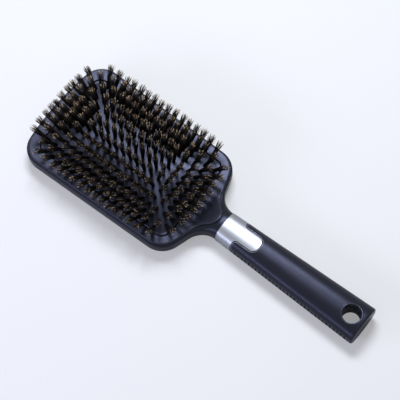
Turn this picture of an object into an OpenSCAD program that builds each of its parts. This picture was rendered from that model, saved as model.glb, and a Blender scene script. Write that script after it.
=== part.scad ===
// Paddle brush with a pneumatic cushion, lying on its back with the bristles up.
// Millimetres, +Z up. Lengths along X are counted from the far end of the head,
// and seat() moves them so that the origin is under the middle of the brush.

/* [Head] */
// Width of the back shell at its widest place
head_w = 84; // [80:1:92]
// Height from the back to the face of the front frame
head_t = 14; // [13:0.5:17]
// Angle at which the sides draw in towards the handle
side_taper = 1.1; // [0:0.1:2]
// Radius of the bowed far end
far_bow_r = 210; // [150:10:400]
// Radius of the corners at the far end
far_corner_r = 15; // [12:0.5:20]
// Radius of the corners beside the shoulders
near_corner_r = 16.4; // [13:0.2:20]
// Angle through which those corners turn
shoulder_turn = 72; // [65:1:80]
// Radius of the hollow of the shoulders
shoulder_r = 14; // [11:0.5:17]
// Radius of the edge round the back
back_edge_r = 6; // [3:0.5:8]
// Radius of the rolled edge beside the frame
rim_edge_r = 1.5; // [1:0.1:2]
// Thickness of the floor under the air chamber
floor_t = 2.6; // [2:0.2:4]

/* [Front frame] */
// Distance of the frame's outline inside the shell's outline
frame_step = 1.4; // [1:0.1:2.5]
// Thickness of the frame
frame_t = 2.2; // [1.8:0.1:3]
// Height of the frame above the shell's rim
frame_proud = 1.4; // [0.8:0.1:1.6]
// Radius of the rounded nose before the collar
nose_r = 7.5; // [6:0.5:8.5]
// Angle of the flanks where they meet the nose
nose_turn = 30; // [20:1:40]
// Radius of the hollow flanks of the nose
nose_flank_r = 15; // [12:0.5:18]
// Length of the opening for the cushion
open_l = 108; // [100:1:110]
// Width of the opening for the cushion
open_w = 65; // [60:1:67]
// Corner radius of the opening
open_r = 6.5; // [4:0.5:10]
// Distance of the opening from the far end
open_inset = 10.5; // [9.5:0.5:12]
// How far the opening reaches past the shell's straight sides
corner_reach = 7.85; // [6:0.05:9]
// Radius of the pegs that hold the frame down
peg_r = 1.6; // [1.2:0.1:2]
// Length of the pegs
peg_l = 5.5; // [4:0.5:7]

/* [Cushion] */
// Height of the crown above the frame
crown_h = 4; // [3:0.5:5.5]
// Thickness of the rubber
rubber_t = 1.5; // [1:0.1:2]
// Width of the flange held under the frame
flange_w = 2.4; // [1.5:0.1:2.8]
// Thickness of the flange
flange_t = 1.2; // [0.8:0.1:2]

/* [Tufts] */
// Tufts in a row along the head
columns = 18; // [14:2:18]
// Distance of the outermost tufts from the opening's long edges
row_inset = 3.35; // [3:0.05:5]
// Distance of the outermost tufts from the opening's ends
column_inset = 4.7; // [4:0.1:6]
// Length of a tuft above the cushion
tuft_l = 18; // [10:0.5:20]
// How many times steeper than the cushion's own slope the tufts lean out
splay_ratio = 3.6; // [1:0.1:3.9]
// How many times further than that the tufts lean towards the two ends
end_splay_ratio = 1.2; // [1:0.05:1.4]
// Radius of a strand at its foot
strand_r = 0.8; // [0.5:0.05:0.85]
// Width of the slice of cushion that carries a line of tufts
slice_w = 3.2; // [2.6:0.1:3.6]
// Thickness of that slice
slice_t = 0.9; // [0.6:0.1:1.2]

/* [Handle] */
// Width at the front of the collar
handle_w = 21; // [19:0.5:22]
// Width at the end of the grip
end_w = 27.2; // [22:0.2:30]
// Thickness of the handle at its end
handle_t = 18.4; // [17:0.2:22]
// How much thinner the handle is at the collar
front_thin = 1; // [0:0.1:2]
// Squareness of the cross-section: 2 is an ellipse
squareness = 2.4; // [2:0.1:3.2]
// Length of the grip behind the collar's ring
grip_l = 99; // [85:0.5:130]
// Thickness of the soft grip
grip_t = 1.4; // [1:0.1:2]
// Radius of the edge round the end of the grip
end_edge_r = 1.3; // [0.6:0.1:2]
// Length of the tang inside the handle
tang_l = 40; // [30:1:50]
// Radius of the tang
tang_r = 4.5; // [3.5:0.1:5]
// Radius of the pin through the tang
pin_r = 1.5; // [1:0.1:2]

/* [Collar] */
// Length of the collar's ring
collar_l = 11.8; // [9:0.2:15]
// Length of the tongues behind the ring
tongue_l = 16.4; // [12:0.2:20]
// Width of the tongues
tongue_w = 10.8; // [8:0.2:13]
// Radius of the corners at the tip of a tongue
tongue_tip_r = 4.4; // [2:0.2:4.8]
// Radius of the hollows at the root of a tongue
tongue_root_r = 3; // [1.5:0.5:4]
// Thickness of the metal
collar_t = 1.3; // [0.9:0.1:1.8]

/* [Side ribs] */
// Distance between ribs
rib_pitch = 2.86; // [2.2:0.02:4]
// Width of the groove between two ribs
rib_gap = 1; // [0.6:0.1:1.4]
// Depth of the grooves
rib_depth = 0.8; // [0.4:0.1:1.1]
// Height of the ribbed strips
rib_h = 5.2; // [4:0.2:7]

/* [Hanging hole] */
// Diameter of the hole
hole_d = 12.4; // [8:0.2:13]
// Distance of the hole's middle from the end
hole_inset = 9.8; // [9.4:0.2:14]
// Wall of the eyelet that lines the hole
eyelet_t = 1.1; // [0.8:0.1:1.4]

/* [Hidden] */

fit = 0.05;             // play of a peg, pin or tang in its hole
seam = 0.15;            // play beside the frame and under it
soft_gap = 0.3;         // room between the cushion and what it moves against
collar_gap = 0.5;       // groove between the collar and the grip
through = 60;           // longer than any wall that a cut passes
round_fn = 48;

rim_z = head_t - frame_proud;
frame_z = head_t - frame_t;
flange_z = frame_z - soft_gap - flange_t;
axis_z = handle_t / 2;
neck_w = handle_w - 0.6;
neck_h = handle_t - front_thin - 0.6;
open_x = open_inset + open_l / 2;
row_count = 12;         // six lines of tufts on each side of the middle
row_pitch = (open_w - 2 * row_inset) / (row_count - 1);
column_pitch = (open_l - 2 * column_inset) / (columns - 1);

// Outline of one half of the shell, from the far end to the neck, as [x, y, normal].
// The normal is an angle counted from +X.
function turn(a) = [cos(a), sin(a)];
function arc(c, r, a0, a1, n) = [for (i = [0:n])
    let (a = a0 + (a1 - a0) * i / n) [c.x + r * cos(a), c.y + r * sin(a), a]];
function hollow(c, r, a0, a1, n) = [for (i = [0:n])
    let (a = a0 + (a1 - a0) * i / n) [c.x - r * cos(a), c.y - r * sin(a), a]];
function rest(points) = [for (i = [1:len(points) - 1]) points[i]];
function flat(p) = [p.x, p.y];

half_w = head_w / 2;
far_a = asin((half_w - far_corner_r) / (far_bow_r - far_corner_r));
side_a = 90 - side_taper;
face_a = 90 - shoulder_turn;
far_c = [far_bow_r, 0];
far_corner_c = far_c - (far_bow_r - far_corner_r) * [cos(far_a), -sin(far_a)];
side_0 = far_corner_c + far_corner_r * turn(side_a);
side_l = (open_inset + open_l - corner_reach - side_0.x) / cos(side_taper);
side_1 = side_0 + side_l * turn(side_a - 90);
near_corner_c = side_1 - near_corner_r * turn(side_a);

head_edge = concat(
    arc(far_c, far_bow_r, 180, 180 - far_a, 4),
    rest(arc(far_corner_c, far_corner_r, 180 - far_a, side_a, 6)),
    [for (i = [1:4]) let (p = side_0 + (side_1 - side_0) * i / 4) [p.x, p.y, side_a]],
    rest(arc(near_corner_c, near_corner_r, side_a, face_a, 6)));

// From the near corner a straight face runs down into a hollow of radius r, which
// turns until its normal is end_a, at the height end_y.
function face_l(p, r, end_a, end_y) =
    (p.y - r * (sin(end_a) - sin(face_a)) - end_y) / cos(face_a);
function shoulder(p, r, end_a, end_y) =
    let (q = p + face_l(p, r, end_a, end_y) * turn(face_a - 90), c = q + r * turn(face_a))
    concat([[(p.x + q.x) / 2, (p.y + q.y) / 2, face_a]], hollow(c, r, face_a, end_a, 7));

shell_corner = near_corner_c + near_corner_r * turn(face_a);
neck_edge = shoulder(shell_corner, shoulder_r, 90, neck_w / 2);
neck_x = neck_edge[len(neck_edge) - 1].x;
collar_x = neck_x + 1;
collar_end = collar_x + collar_l;
total_l = collar_end + grip_l;
shell_edge = concat(head_edge, neck_edge,
    [[collar_x - seam, neck_w / 2, 90]]);

frame_head_edge = [for (p = head_edge)
    [p.x - frame_step * cos(p.z), p.y - frame_step * sin(p.z), p.z]];
frame_corner = flat(frame_head_edge[len(frame_head_edge) - 1]);
flank_a = 90 - nose_turn;
flank = shoulder(frame_corner, nose_flank_r, flank_a, nose_r * sin(flank_a));
nose_c = flat(flank[len(flank) - 1]) - nose_r * turn(flank_a);
frame_edge = concat(frame_head_edge, flank, rest(arc(nose_c, nose_r, flank_a, 0, 6)));
nose_depth = nose_r * 0.98;

// The neck rises from the flat head to the oval of the collar.
lift_x0 = side_1.x + near_corner_r * 0.8;
lift_x1 = collar_x - 1;
function smooth(t) = let (u = min(1, max(0, t))) u * u * (3 - 2 * u);
function lift(x) = smooth((x - lift_x0) / (lift_x1 - lift_x0));
edge_table = [for (p = shell_edge) flat(p)];
function oval(x, y) = neck_h / 2
    * pow(max(0, 1 - pow(abs(y) / lookup(x, edge_table), squareness)), 1 / squareness);
function top_z(x, y) = rim_z + lift(x) * (axis_z + oval(x, y) - rim_z);
function back_z(x, y) = lift(x) * (axis_z - oval(x, y));
function fillet(r, d) = d >= r ? 0 : r - sqrt(r * r - (r - d) * (r - d));

// Point of an outline moved inwards by d.
function inside(p, d) = let (y = p.y - d * sin(p.z))
    [p.x - d * cos(p.z), abs(y) < 0.001 ? 0 : y];

// Closed solid with mirror symmetry about the XZ plane. Each row of the grid runs from
// the underside round the +Y side to the top. Ladders join the two halves, and each end
// whose first or last row isn't on the plane is closed by a ladder too.
module sym_loft(grid) {
    m = len(grid);
    n = len(grid[0]);
    points = concat([for (row = grid) each row],
        [for (row = grid) for (p = row) [p.x, -p.y, p.z]]);
    function a(i, j) = i * n + j;
    function b(i, j) = grid[i][j].y == 0 ? a(i, j) : m * n + i * n + j;
    quads = concat(
        [for (i = [0:m - 2]) for (j = [0:n - 2])
            [a(i, j), a(i, j + 1), a(i + 1, j + 1), a(i + 1, j)]],
        [for (i = [0:m - 2]) for (j = [0:n - 2])
            [b(i, j), b(i + 1, j), b(i + 1, j + 1), b(i, j + 1)]],
        [for (i = [0:m - 2]) [a(i, 0), a(i + 1, 0), b(i + 1, 0), b(i, 0)]],
        [for (i = [0:m - 2]) [a(i, n - 1), b(i, n - 1), b(i + 1, n - 1), a(i + 1, n - 1)]],
        [for (j = [0:n - 2]) [a(0, j), b(0, j), b(0, j + 1), a(0, j + 1)]],
        [for (j = [0:n - 2]) [a(m - 1, j), a(m - 1, j + 1), b(m - 1, j + 1), b(m - 1, j)]]);
    triangles = [for (q = quads) each [[q[0], q[2], q[1]], [q[0], q[3], q[2]]]];
    polyhedron(points, [for (t = triangles)
        if (t[0] != t[1] && t[1] != t[2] && t[2] != t[0]) t]);
}

// Half of a rounded rectangle, from its far end to its near end, with d taken off all
// round. Its ends bow out a little. Every d gives the same number of points, so that
// rings can be lofted.
end_bow = 0.3;
function ring_half(l, w, r, d) =
    let (hl = l / 2 - d, hw = w / 2 - d, q = max(r - d, 0.4), bow = end_bow / 9)
    concat(
        [for (i = [0:2]) [-hl - bow * (9 - i * i), (hw - q) * i / 3]],
        [for (i = [0:3]) let (a = 180 - 30 * i) [-hl + q + q * cos(a), hw - q + q * sin(a)]],
        [for (i = [1:9]) [-(hl - q) + 2 * (hl - q) * i / 10, hw]],
        [for (i = [0:3]) let (a = 90 - 30 * i) [hl - q + q * cos(a), hw - q + q * sin(a)]],
        [for (i = [2:-1:0]) [hl + bow * (9 - i * i), (hw - q) * i / 3]]);
function ring_outline(l, w, r) =
    let (half = ring_half(l, w, r, 0))
    concat(half, [for (i = [len(half) - 2:-1:1]) [half[i].x, -half[i].y]]);

module seat() {
    translate([-total_l / 2, 0, 0])
        children();
}

// Prism of the cushion's opening grown by d, from z0 to z1.
module opening_prism(d, z0, z1) {
    translate([open_x, 0, z0])
        linear_extrude(z1 - z0)
            polygon(ring_outline(open_l + 2 * d, open_w + 2 * d, open_r + d));
}

// Places of the frame's pegs, midway between the opening and the frame's edge.
peg_y = (open_w / 2 + half_w - frame_step) / 2;
peg_far_x = (frame_step + open_inset) / 2;
peg_near_x = open_x + open_l / 2 + peg_far_x + flange_w;
peg_places = concat(
    [for (x = [open_x - open_l / 4, open_x + open_l / 4]) for (side = [-1, 1]) [x, side * peg_y]],
    [[peg_far_x, 0], [peg_near_x, 0]]);

module at_pegs() {
    for (p = peg_places)
        translate([p.x, p.y, 0])
            children();
}

// Back shell: tray of the head, with the neck and the tang in one piece.
edge_insets = [0, 0.45, 1.5, 4.5, 8];
back_insets = [8, 4.6, 2.4, 0.9, 0];

function shell_row(p) = concat(
    [for (d = concat([neck_w / 2], back_insets)) let (q = inside(p, d))
        [q.x, q.y, back_z(q.x, q.y) + (1 - lift(q.x)) * fillet(back_edge_r, d)]],
    [for (d = concat(edge_insets, [neck_w / 2])) let (q = inside(p, d))
        [q.x, q.y, top_z(q.x, q.y) - (1 - lift(q.x)) * fillet(rim_edge_r, d)]]);

// Plate that follows the shell's top, from low under it to high over it.
frame_insets = [0, 0.25, 0.9, 2.6, 5, nose_depth];
function frame_row(p, grow, low, high, edge_r) = concat(
    [for (d = [nose_depth, 5, 2.6, 0])
        let (q = inside(p, d - grow)) [q.x, q.y, top_z(q.x, q.y) + low]],
    [for (d = frame_insets)
        let (q = inside(p, d - grow)) [q.x, q.y, top_z(q.x, q.y) + high - fillet(edge_r, d)]]);

module frame_blank(grow, low, high, edge_r) {
    sym_loft([for (p = frame_edge) frame_row(p, grow, low, high, edge_r)]);
}

// Handle between x0 and x1, drawn in by inset, with the edge of its end rounded.
module handle_loft(inset, x0, x1, edge_r = 0) {
    steps = edge_r > 0 ? [1, 0.5, 0.2, 0] : [0];
    sym_loft(concat(
        [for (i = [0:3]) handle_row(x0 + (x1 - edge_r - x0) * i / 4, inset)],
        [for (k = steps) handle_row(x1 - edge_r * k, inset + fillet(edge_r, edge_r * k))]));
}

// Share of the handle's length at x, and half its width there.
function along(x) = (x - collar_x) / (total_l - collar_x);
function half_at(x) = (handle_w + (end_w - handle_w) * along(x)) / 2;

// Half of the handle's cross-section at x, from the underside to the top.
function handle_row(x, inset) =
    let (w = half_at(x) - inset,
        h = (handle_t - front_thin * (1 - along(x))) / 2 - inset,
        e = 2 / squareness)
    [for (i = [-6:6]) let (a = i * 15)
        [x, abs(i) == 6 ? 0 : w * pow(cos(a), e), axis_z + h * sign(i) * pow(abs(sin(a)), e)]];

module along_x(r, x0, x1) {
    translate([x0, 0, axis_z])
        rotate([0, 90, 0])
            cylinder(r = r, h = x1 - x0, $fn = round_fn);
}

plug_end = collar_x + collar_l / 3;
tang_end = collar_x + tang_l;
pin_x = tang_end - 3 * pin_r;
pin_l = 2 * tang_r + 5;
hole_x = total_l - hole_inset;
core_inset = max(collar_t, grip_t) + fit;

module upright(x, r, h) {
    translate([x, 0, axis_z - h / 2])
        cylinder(r = r, h = h, $fn = round_fn);
}

module back_shell() {
    color("#17181c") seat() difference() {
        union() {
            sym_loft([for (p = shell_edge) shell_row(p)]);
            handle_loft(collar_t + seam, collar_x - 1, plug_end);
            along_x(tang_r, plug_end - 1, tang_end);
        }
        frame_blank(seam, -(frame_t - frame_proud) - seam, through, 0);
        opening_prism(flange_w + seam, flange_z, through);
        opening_prism(-soft_gap, floor_t, through);
        at_pegs()
            translate([0, 0, frame_z - peg_l - soft_gap])
                cylinder(r = peg_r + fit, h = through, $fn = round_fn);
        upright(pin_x, pin_r + fit, through);
    }
}

module front_frame() {
    color("#1d1e23") seat() {
        difference() {
            frame_blank(0, -(frame_t - frame_proud), frame_proud, 0.9);
            opening_prism(0, 0, through);
        }
        at_pegs()
            translate([0, 0, frame_z - peg_l])
                cylinder(r = peg_r, h = peg_l + 0.5, $fn = 24);
    }
}

// Height of the cushion's face above the frame: a crown that falls off towards the
// nearest edge. fall() is 1 at the edge and 0 from the middle of the width inwards.
function fall(d) = pow(1 - min(max(d, 0), open_w / 2) / (open_w / 2), 6);
function pad_h(x, y) = crown_h
    * (1 - pow(fall(open_l / 2 - abs(x)) + fall(open_w / 2 - abs(y)), 1 / 3));

// The slices that carry the tufts take up the outermost layer of the rubber.
skin = slice_t + soft_gap;
pad_insets = [1.6, 3.6, 7, 11.5, 17, 23, open_w / 2 - 3];
pad_points = len(ring_half(open_l, open_w, open_r, 0));
function pad_point(i, d, z) = let (q = ring_half(open_l, open_w, open_r, d)[i]) [q.x, q.y, z];
function pad_on_face(i, d, low) = let (q = pad_point(i, d, 0))
    [q.x, q.y, head_t + pad_h(q.x, q.y) - skin - low];

// Half of the cushion's section: inner face, flange, lip and outer face.
function pad_row(i) = concat(
    [for (k = [len(pad_insets) - 1:-1:0]) pad_on_face(i, pad_insets[k], rubber_t)],
    [for (d = [rubber_t, -flange_w]) pad_point(i, d, flange_z)],
    [for (d = [-flange_w, soft_gap]) pad_point(i, d, flange_z + flange_t)],
    [for (d = concat([soft_gap], pad_insets)) pad_on_face(i, d, 0)]);

module cushion() {
    color("#101114") seat() translate([open_x, 0, 0])
        sym_loft([for (i = [0:pad_points - 1]) pad_row(i)]);
}

// Tufts. A line of tufts stands on its slice of the cushion, and each tuft is a pair of
// three-sided strands that leans outwards. Left is +Y, far is the end of the head.
function tuft_x(c) = (c - (columns + 1) / 2) * column_pitch;
function tuft_y(r) = (r - (row_count + 1) / 2) * row_pitch;
function row_line(k, side) = let (skip = k == 1 ? 1 : 0)
    [for (c = [k + skip:columns + 1 - k - skip])
        [tuft_x(c), tuft_y(side > 0 ? row_count + 1 - k : k)]];
function column_line(k, side) =
    [for (r = [k + 1:row_count - k]) [tuft_x(side > 0 ? columns + 1 - k : k), tuft_y(r)]];

strand_foot = strand_r * 0.75;
tip_ratio = 0.75;
slice_end = 2 * strand_foot + strand_r * 0.6;
nudge = open_w / 2000;
function slope(p) = [
    pad_h(p.x - nudge, p.y) - pad_h(p.x + nudge, p.y),
    pad_h(p.x, p.y - nudge) - pad_h(p.x, p.y + nudge)] / (2 * nudge);
function lean(p) = let (s = splay_ratio * slope(p), g = [end_splay_ratio * s.x, s.y, 1])
    g / norm(g);
function uneven(p) = 1 - 0.03 * (1 + sin(560 * p.x / column_pitch + 320 * p.y / row_pitch));
function on_pad(p, low) = [p.x, p.y, head_t + pad_h(p.x, p.y) - low];

// The three feet of one strand, and the three corners of its tip.
function strand_feet(p, u, way) = let (v = [-u.y, u.x], c = p + way * strand_foot * u)
    [for (q = [[way, 0], [-way / 2, -0.866], [-way / 2, 0.866]])
        on_pad(c + strand_r * (q.x * u + q.y * v), 0)];
function strand_top(p, feet) = let (c = on_pad(p, 0), top = c + tuft_l * uneven(p) * lean(p))
    [for (f = feet) top + tip_ratio * (f - c)];

module tuft_line(line, u) {
    n = len(line);
    v = [-u.y, u.x] * slice_w / 2;
    stations = [for (i = [0:n])
        i == 0 ? line[0] - slice_end * u
        : i == n ? line[n - 1] + slice_end * u
        : (line[i - 1] + line[i]) / 2];
    edges = [for (s = stations)
        each [on_pad(s - v, 0), on_pad(s + v, 0), on_pad(s - v, slice_t), on_pad(s + v, slice_t)]];
    strands = [for (p = line)
        let (l = strand_feet(p, u, -1), r = strand_feet(p, u, 1))
        each concat(l, r, strand_top(p, l), strand_top(p, r))];
    faces = concat(
        [for (i = [0:n - 1]) let (s = 4 * i, t = 4 * (n + 1) + 12 * i) each cell_faces(s, t)],
        [[3, 2, 0], [3, 0, 1]],
        let (s = 4 * n) [[s + 2, s + 3, s + 1], [s + 2, s + 1, s]]);
    color("#1c1611") seat() translate([open_x, 0, 0])
        polyhedron(concat(edges, strands), [for (f = faces) [f[2], f[1], f[0]]]);
}

// Triangles of one tuft's cell: s is its first point on the slice, t its first strand's.
function cell_faces(s, t) =
    let (a = s, b = s + 4, c = s + 5, d = s + 1, l = t, r = t + 3)
    concat(
        [[a, l, d], [a, l + 1, l], [a, r + 1, l + 1], [a, b, r + 1], [b, r, r + 1],
            [b, c, r], [c, r + 2, r], [c, l + 2, r + 2], [c, d, l + 2], [d, l, l + 2],
            [l + 1, r + 1, r + 2], [l + 1, r + 2, l + 2]],
        strand_faces([l, l + 1, l + 2]), strand_faces([r, r + 2, r + 1]),
        [[a + 2, b + 2, b], [a + 2, b, a], [c + 2, d + 2, d], [c + 2, d, c],
            [a + 2, d + 2, c + 2], [a + 2, c + 2, b + 2]]);
function strand_faces(f) = concat(
    [for (i = [0:2]) let (j = (i + 1) % 3)
        each [[f[i], f[j], f[j] + 6], [f[i], f[j] + 6, f[i] + 6]]],
    [[f[0] + 6, f[1] + 6, f[2] + 6]]);

module tuft_row(k, side) {
    tuft_line(row_line(k, side), [1, 0]);
}

module tuft_column(k, side) {
    tuft_line(column_line(k, side), [0, 1]);
}

// Metal collar: a ring round the handle with a tongue above and one below.
module tongue_plan(d) {
    tip_x = collar_end + tongue_l + d;
    half = tongue_w / 2 + d;
    tip = min(tongue_tip_r + d, half - 0.2);
    root = tongue_root_r - d;
    start = collar_end - 2;
    side = [for (a = [0:15:90]) [tip_x - tip + tip * cos(a), half - tip + tip * sin(a)]];
    foot = [for (a = [0:15:90]) [collar_end + d + root - root * sin(a), half + root - root * cos(a)]];
    half_plan = concat([[tip_x, 0]], side, foot, [[start, half + root]]);
    linear_extrude(through)
        polygon(concat(half_plan,
            [for (i = [len(half_plan) - 1:-1:1]) [half_plan[i].x, -half_plan[i].y]]));
}

module slab(x0, x1) {
    translate([x0, -through / 2, axis_z - through / 2])
        cube([x1 - x0, through, through]);
}

module collar() {
    color("#b9bcc4") seat() intersection() {
        difference() {
            handle_loft(0, collar_x, collar_end + tongue_l + 1);
            handle_loft(collar_t, collar_x - 1, collar_end + tongue_l + 2);
        }
        union() {
            slab(collar_x, collar_end);
            translate([0, 0, axis_z - through / 2])
                tongue_plan(0);
        }
    }
}

module handle_core() {
    color("#26272b") seat() difference() {
        handle_loft(core_inset, plug_end + seam, total_l - core_inset);
        along_x(tang_r + fit, plug_end - 1, tang_end + soft_gap);
        upright(pin_x, pin_r + fit, pin_l + 2 * soft_gap);
        upright(hole_x, hole_d / 2 + eyelet_t + fit, through);
    }
}

// Band along the widest line of the handle, from the face y = inner outwards.
module rib_band(side, d, x0, x1) {
    translate([x0, side > 0 ? 0 : -through, axis_z - rib_h / 2 - d])
        cube([x1 - x0, through, rib_h + 2 * d]);
}

rib_x0 = collar_end + collar_gap + 2 * rib_gap;
rib_count = floor((total_l - end_edge_r - rib_x0) / rib_pitch);
rib_x1 = rib_x0 + rib_count * rib_pitch - rib_gap;

module grip_sleeve() {
    color("#151518") seat() difference() {
        handle_loft(0, collar_end + collar_gap, total_l, end_edge_r);
        handle_loft(core_inset - fit, collar_end - 1, total_l - core_inset + fit);
        translate([0, 0, axis_z - through / 2])
            tongue_plan(collar_gap);
        for (side = [-1, 1])
            rib_band(side, seam, rib_x0 - seam, rib_x1 + seam);
        upright(hole_x, hole_d / 2 + eyelet_t + fit, through);
    }
}

// A strip is a comb: its back lies against the core and its teeth are the ribs.
module rib_strip(side) {
    teeth = [for (i = [0:rib_count - 1])
        let (x0 = rib_x0 + i * rib_pitch, x1 = x0 + rib_pitch - rib_gap)
        each [[x0, rib_depth], [x0, 0], [x1, 0], [x1, rib_depth]]];
    comb = concat([[rib_x0, core_inset - fit]], teeth, [[rib_x1, core_inset - fit]]);
    color("#1a1a1e") seat() translate([0, 0, axis_z - rib_h / 2])
        linear_extrude(rib_h)
            polygon([for (p = comb) [p.x, side * (half_at(p.x) - p.y)]]);
}

module hang_eyelet() {
    color("#1b1b1f") seat() intersection() {
        difference() {
            upright(hole_x, hole_d / 2 + eyelet_t, through);
            upright(hole_x, hole_d / 2, 2 * through);
        }
        handle_loft(0, collar_end, total_l - 0.1);
    }
}

module tang_pin() {
    color("#9a9ca2") seat()
        upright(pin_x, pin_r, pin_l);
}

back_shell();
front_frame();
cushion();
tuft_row(1, 1);  // tufts_1_left
tuft_row(1, -1);  // tufts_1_right
tuft_column(1, -1);  // tufts_1_far
tuft_column(1, 1);  // tufts_1_near
tuft_row(2, 1);  // tufts_2_left
tuft_row(2, -1);  // tufts_2_right
tuft_column(2, -1);  // tufts_2_far
tuft_column(2, 1);  // tufts_2_near
tuft_row(3, 1);  // tufts_3_left
tuft_row(3, -1);  // tufts_3_right
tuft_column(3, -1);  // tufts_3_far
tuft_column(3, 1);  // tufts_3_near
tuft_row(4, 1);  // tufts_4_left
tuft_row(4, -1);  // tufts_4_right
tuft_column(4, -1);  // tufts_4_far
tuft_column(4, 1);  // tufts_4_near
tuft_row(5, 1);  // tufts_5_left
tuft_row(5, -1);  // tufts_5_right
tuft_column(5, -1);  // tufts_5_far
tuft_column(5, 1);  // tufts_5_near
tuft_row(6, 1);  // tufts_6_left
tuft_row(6, -1);  // tufts_6_right
collar();
handle_core();
grip_sleeve();
rib_strip(1);  // rib_strip_left
rib_strip(-1);  // rib_strip_right
hang_eyelet();
tang_pin();
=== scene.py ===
"""Looks of the paddle brush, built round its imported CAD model."""

import math

import bmesh
import bpy
import numpy as np
from mathutils import Matrix, Vector
from mathutils.bvhtree import BVHTree


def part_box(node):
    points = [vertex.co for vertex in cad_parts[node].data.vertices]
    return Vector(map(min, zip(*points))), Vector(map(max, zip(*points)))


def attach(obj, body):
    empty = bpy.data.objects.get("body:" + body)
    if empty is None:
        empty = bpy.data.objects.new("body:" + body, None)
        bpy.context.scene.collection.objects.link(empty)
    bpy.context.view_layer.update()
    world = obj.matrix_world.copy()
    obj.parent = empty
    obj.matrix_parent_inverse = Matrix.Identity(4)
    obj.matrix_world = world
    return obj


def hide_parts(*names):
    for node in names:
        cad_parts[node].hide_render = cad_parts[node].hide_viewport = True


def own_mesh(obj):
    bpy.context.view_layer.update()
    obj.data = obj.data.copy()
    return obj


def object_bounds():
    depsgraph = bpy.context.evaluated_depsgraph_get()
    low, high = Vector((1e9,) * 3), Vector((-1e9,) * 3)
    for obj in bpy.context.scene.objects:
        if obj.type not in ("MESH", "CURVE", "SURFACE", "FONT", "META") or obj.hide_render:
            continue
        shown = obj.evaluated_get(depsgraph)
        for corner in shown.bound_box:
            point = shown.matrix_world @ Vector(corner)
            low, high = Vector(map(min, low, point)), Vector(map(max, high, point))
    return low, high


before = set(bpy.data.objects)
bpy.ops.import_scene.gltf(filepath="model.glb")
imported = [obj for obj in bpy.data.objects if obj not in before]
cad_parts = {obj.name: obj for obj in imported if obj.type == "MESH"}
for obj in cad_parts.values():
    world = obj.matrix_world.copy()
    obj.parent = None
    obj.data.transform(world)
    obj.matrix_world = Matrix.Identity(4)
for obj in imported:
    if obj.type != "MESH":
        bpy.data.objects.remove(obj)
cad_low, cad_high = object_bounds()

MM = 0.001

# Sizes in millimetres, as in the CAD source. Lengths along X count from the far end.
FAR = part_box("back_shell")[0].x / MM
TOTAL_L = (cad_high.x - cad_low.x) / MM

# Head: the frame stands PROUD of the shell's rim, STEP inside its outline, with a SEAM round it.
# Names in _A are angles in degrees, names in _R radii, names in _T thicknesses.
HEAD_T, HALF_W = 14.0, 42.0
FRAME_T, PROUD, STEP, SEAM = 2.2, 1.4, 1.4, 0.15
RIM_Z = HEAD_T - PROUD
FAR_BOW_R, FAR_CORNER_R, NEAR_CORNER_R = 210.0, 15.0, 16.4
TAPER_A, SHOULDER_A, FACE_A = 1.1, 72.0, 18.0
SIDE_SHORT = 7.85  # the shell's straight sides end this far before the opening does
SHELL_HOLLOW_R, FRAME_HOLLOW_R = 14.0, 15.0
NOSE_R, NOSE_A = 7.5, 60
RIM_ROUND, BACK_ROUND, BACK_REACH = 1.5, 6.0, 8.0
# The groove between shell and frame, and the ledge under the frame that it ends in.
GROOVE_LIP, GROOVE_DEPTH, LEDGE_DROP, LEDGE_IN = 0.12, 1.2, 2.2, 1.0
PLATE_ROUND, PLATE_LIP = 0.9, 0.5

# Opening of the frame and the cushion in it.
OPEN_L, OPEN_W, OPEN_R, OPEN_INSET = 108.0, 65.0, 6.5, 10.5
OPEN_X = OPEN_INSET + OPEN_L / 2
END_BOW = 0.3  # how far the opening's ends bow out
CROWN, CROWN_POWER = 4.0, 6
PAD_UNDER = 5.8  # depth of the pad's hidden underside

# Tufts: their places, their lean, and the bristles in one tuft.
COLUMNS, ROWS = 18, 12
MARGIN_X, MARGIN_Y = 4.7, 3.35
PITCH_X = (OPEN_L - 2 * MARGIN_X) / (COLUMNS - 1)
PITCH_Y = (OPEN_W - 2 * MARGIN_Y) / (ROWS - 1)
TUFT_L = 18.0
SPLAY, END_SPLAY = 3.6, 1.2
NUDGE = OPEN_W / 2000  # step over which the pad's slope is measured
UNEVEN_LEAN = 0.03
BRISTLES = 56
ROOT_SPREAD, TIP_SPREAD, FLARE = 1.1, 1.45, 2.6
ROOT_DEPTH = 0.3
TIP_SCATTER, BEND = 0.55, 0.12
# Shares of a bristle's length that are missing, at most.
SHORTER, SHORTER_OUTSIDE = 0.16, 0.08
# Tips gather in spots; the few nearest to a spot are bound in it, and only they turn golden.
SPOTS, SPOT_OUT, SPOT_HOLDS = (6, 11), (0.45, 0.95), (2, 5)
BOUND_PULL, LOOSE_PULL = (0.75, 0.95), (0.0, 0.3)
SPOT_GOLD, TIP_GOLD = (0.1, 1.0), (0.5, 1.0)
BOUND_SHORT, BOUND_THICK = 0.3, 1.35
# Each bristle is a tapering tube; its rings lie at these shares of its length.
STRAND_AT = (0.0, 0.4, 0.75, 1.0)
STRAND_R = (0.13, 0.12, 0.105, 0.075)
STRAND_SIDES = 3
ROUND = 6.28
GOLDEN_ANGLE = 2.39996

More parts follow.
